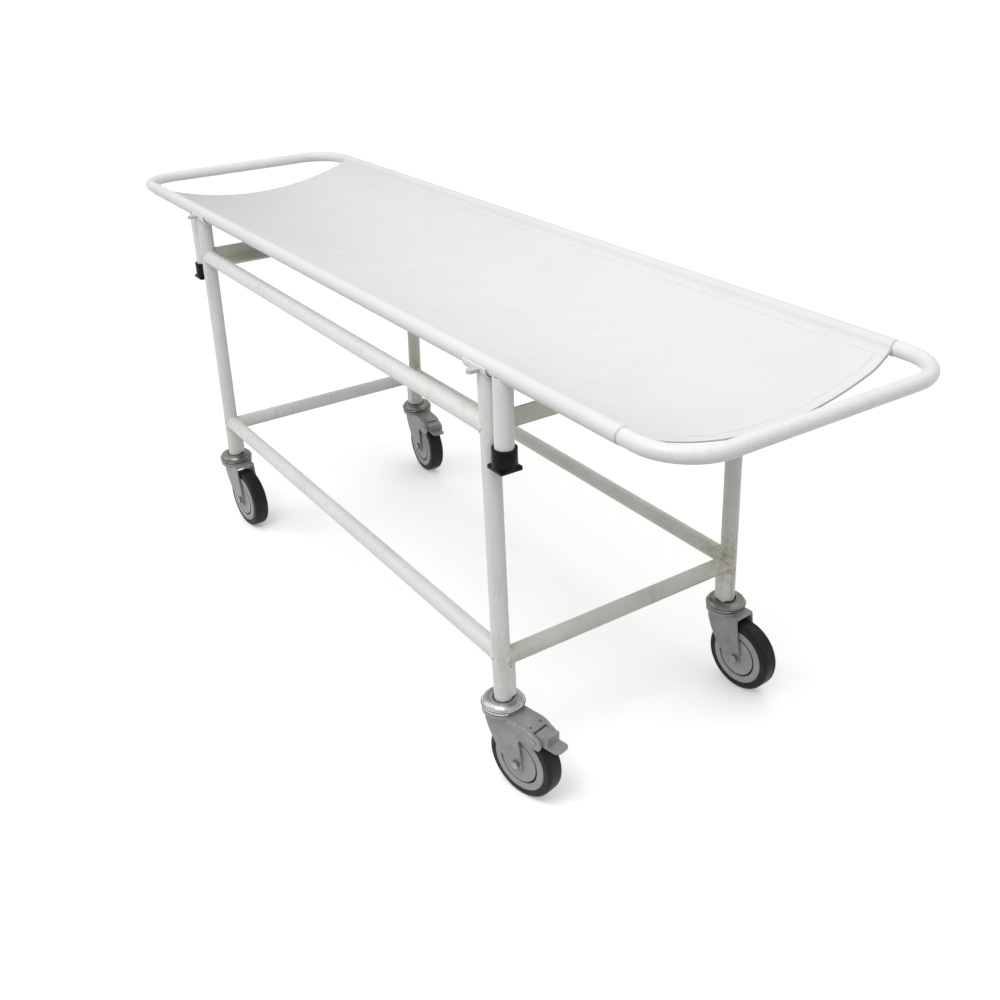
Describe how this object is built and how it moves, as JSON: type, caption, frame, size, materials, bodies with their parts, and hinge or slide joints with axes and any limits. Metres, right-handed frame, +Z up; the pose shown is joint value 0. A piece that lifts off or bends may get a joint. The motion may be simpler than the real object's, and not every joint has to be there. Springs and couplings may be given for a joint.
{
  "type": "ambulance cot",
  "caption": "Wheeled cot: a welded tube trolley on swivel casters carries a lift-off stretcher with a sagging cloth bed, hand-hold ends and small legs.",
  "frame": {"origin": "on the floor under the middle of the cot", "axes": "+X towards the foot end, +Y towards the patient's left, +Z up"},
  "size_m": [1.794, 0.529, 0.6986],
  "materials": {
    "frame_paint": "gloss enamel over welded tube",
    "stretcher_paint": "gloss enamel",
    "polished_zinc": "bright plated pressing",
    "zinc_plate": "zinc plated pressing",
    "bolt_steel": "zinc plated",
    "hub_plastic": "moulded, fine grain",
    "tyre_rubber": "moulded rubber",
    "cap_plastic": "moulded",
    "sling_cloth": "coated cloth, stitched pockets"
  },
  "bodies": {
    "trolley": {"leg_head_right": "frame_paint", "cradle_head_right": "frame_paint", "swivel_cup_head_right": "polished_zinc", "leg_foot_right": "frame_paint", "cradle_foot_right": "frame_paint", "swivel_cup_foot_right": "polished_zinc", "leg_foot_left": "frame_paint", "cradle_foot_left": "frame_paint", "swivel_cup_foot_left": "polished_zinc", "leg_head_left": "frame_paint", "cradle_head_left": "frame_paint", "swivel_cup_head_left": "polished_zinc", "lower_rail_right": "frame_paint", "upper_rail_right": "frame_paint", "lower_rail_left": "frame_paint", "upper_rail_left": "frame_paint", "lower_cross_head": "frame_paint", "upper_angle_head": "frame_paint", "lower_cross_foot": "frame_paint", "upper_angle_foot": "frame_paint", "retaining_lugs": "frame_paint", "leg_ribs": "frame_paint", "kingpins": "bolt_steel", "swivel_balls": "bolt_steel"},
    "fork_body_head_right": {"fork_head_right": "zinc_plate", "axle_bolt_head_right": "bolt_steel", "axle_sleeve_head_right": "bolt_steel"},
    "wheel_body_head_right": {"wheel_hub_head_right": "hub_plastic", "tyre_head_right": "tyre_rubber"},
    "fork_body_foot_right": {"fork_foot_right": "zinc_plate", "axle_bolt_foot_right": "bolt_steel", "axle_sleeve_foot_right": "bolt_steel", "pedal_pin_foot_right": "bolt_steel"},
    "wheel_body_foot_right": {"wheel_hub_foot_right": "hub_plastic", "tyre_foot_right": "tyre_rubber"},
    "pedal_body_foot_right": {"brake_pedal_foot_right": "zinc_plate"},
    "fork_body_foot_left": {"fork_foot_left": "zinc_plate", "axle_bolt_foot_left": "bolt_steel", "axle_sleeve_foot_left": "bolt_steel"},
    "wheel_body_foot_left": {"wheel_hub_foot_left": "hub_plastic", "tyre_foot_left": "tyre_rubber"},
    "fork_body_head_left": {"fork_head_left": "zinc_plate", "axle_bolt_head_left": "bolt_steel", "axle_sleeve_head_left": "bolt_steel", "pedal_pin_head_left": "bolt_steel"},
    "wheel_body_head_left": {"wheel_hub_head_left": "hub_plastic", "tyre_head_left": "tyre_rubber"},
    "pedal_body_head_left": {"brake_pedal_head_left": "zinc_plate"},
    "stretcher": {"stretcher_leg_head_right": "stretcher_paint", "foot_cap_head_right": "cap_plastic", "stretcher_leg_foot_right": "stretcher_paint", "foot_cap_foot_right": "cap_plastic", "stretcher_leg_foot_left": "stretcher_paint", "foot_cap_foot_left": "cap_plastic", "stretcher_leg_head_left": "stretcher_paint", "foot_cap_head_left": "cap_plastic", "sleeve_right": "sling_cloth", "sleeve_left": "sling_cloth", "stretcher_loop": "stretcher_paint", "sling": "sling_cloth"}
  },
  "joints": [
    {"name": "swivel_head_right", "type": "hinge", "parent": "trolley", "child": "fork_body_head_right", "pos_m": [-0.528, -0.231, 0.14], "axis": [0, 0, 1], "continuous": true},
    {"name": "wheel_spin_head_right", "type": "hinge", "parent": "fork_body_head_right", "child": "wheel_body_head_right", "pos_m": [-0.48306, -0.22864, 0.0625], "axis": [-0.0523, 0.9986, 0], "continuous": true},
    {"name": "swivel_foot_right", "type": "hinge", "parent": "trolley", "child": "fork_body_foot_right", "pos_m": [0.528, -0.231, 0.14], "axis": [0, 0, 1], "continuous": true},
    {"name": "wheel_spin_foot_right", "type": "hinge", "parent": "fork_body_foot_right", "child": "wheel_body_foot_right", "pos_m": [0.57193, -0.22126, 0.0625], "axis": [-0.2164, 0.9763, 0], "continuous": true},
    {"name": "brake_press_foot_right", "type": "hinge", "parent": "fork_body_foot_right", "child": "pedal_body_foot_right", "pos_m": [0.6061, -0.21368, 0.124], "axis": [-0.2164, 0.9763, 0], "range_deg": [0, 10]},
    {"name": "swivel_foot_left", "type": "hinge", "parent": "trolley", "child": "fork_body_foot_left", "pos_m": [0.528, 0.231, 0.14], "axis": [0, 0, 1], "continuous": true},
    {"name": "wheel_spin_foot_left", "type": "hinge", "parent": "fork_body_foot_left", "child": "wheel_body_foot_left", "pos_m": [0.57283, 0.23492, 0.0625], "axis": [-0.0872, 0.9962, 0], "continuous": true},
    {"name": "swivel_head_left", "type": "hinge", "parent": "trolley", "child": "fork_body_head_left", "pos_m": [-0.528, 0.231, 0.14], "axis": [0, 0, 1], "continuous": true},
    {"name": "wheel_spin_head_left", "type": "hinge", "parent": "fork_body_head_left", "child": "wheel_body_head_left", "pos_m": [-0.48317, 0.22708, 0.0625], "axis": [0.0872, 0.9962, 0], "continuous": true},
    {"name": "brake_press_head_left", "type": "hinge", "parent": "fork_body_head_left", "child": "pedal_body_head_left", "pos_m": [-0.4483, 0.22403, 0.124], "axis": [0.0872, 0.9962, 0], "range_deg": [0, 10]},
    {"name": "stretcher_lift", "type": "slide", "parent": "trolley", "child": "stretcher", "axis": [0, 0, 1], "range_m": [0, 0.3]}
  ]
}
